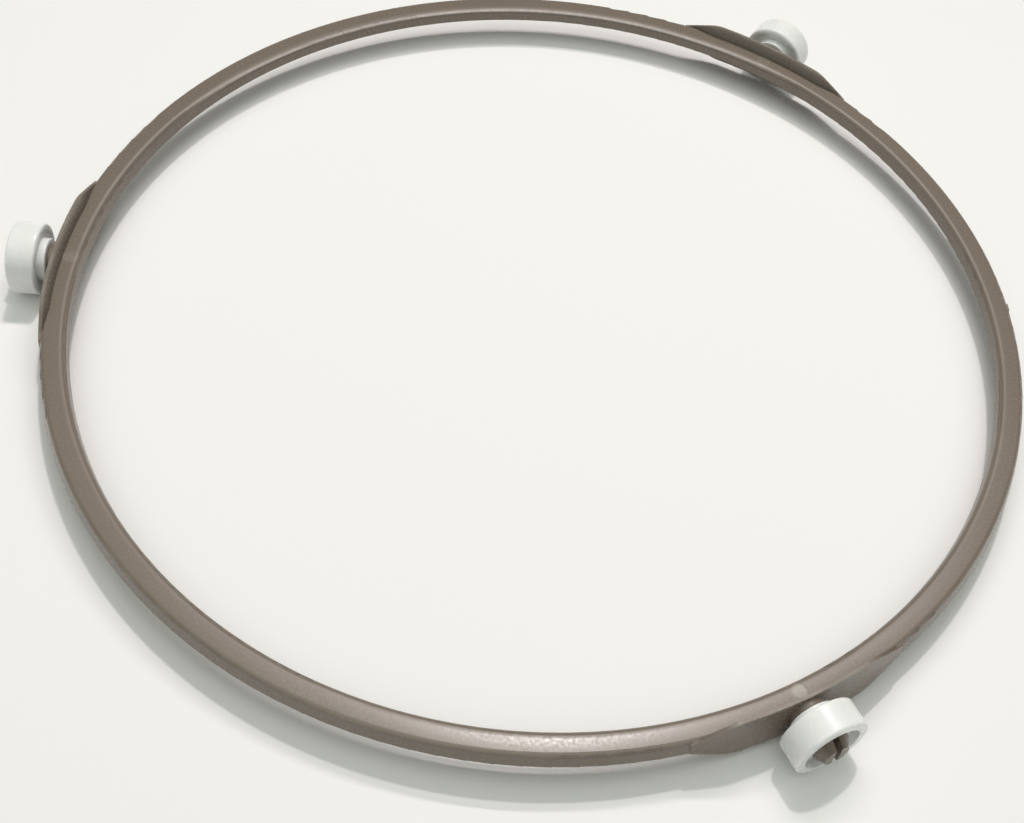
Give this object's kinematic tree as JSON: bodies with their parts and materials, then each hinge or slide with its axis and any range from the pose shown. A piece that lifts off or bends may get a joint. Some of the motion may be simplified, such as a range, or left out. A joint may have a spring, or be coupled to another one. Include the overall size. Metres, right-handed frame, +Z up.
{
  "type": "microwave roller ring",
  "caption": "Moulded plastic ring with split snap axles that carry free-turning rollers; it rolls on a microwave oven's floor and carries the glass turntable tray.",
  "frame": {"origin": "on the ring's axis, in the plane of the floor that the rollers stand on", "axes": "+Z up along the ring's axis, towards the glass tray; the rollers stand at 60, 180 and 300 degrees from +X"},
  "size_m": [0.2298, 0.2198, 0.016],
  "materials": {
    "ring_plastic": "fine satin moulding",
    "roller_plastic": "smooth moulding"
  },
  "bodies": {
    "ring": {"ring": "ring_plastic"},
    "roller_1": {"roller_1": "roller_plastic"},
    "roller_2": {"roller_2": "roller_plastic"},
    "roller_3": {"roller_3": "roller_plastic"}
  },
  "joints": [
    {"name": "roller_1_spin", "type": "hinge", "parent": "ring", "child": "roller_1", "pos_m": [0.0575, 0.09959, 0.008], "axis": [0.5, 0.866, 0], "continuous": true},
    {"name": "roller_2_spin", "type": "hinge", "parent": "ring", "child": "roller_2", "pos_m": [-0.115, 0, 0.008], "axis": [-1, 0, 0], "continuous": true},
    {"name": "roller_3_spin", "type": "hinge", "parent": "ring", "child": "roller_3", "pos_m": [0.0575, -0.09959, 0.008], "axis": [0.5, -0.866, 0], "continuous": true}
  ]
}
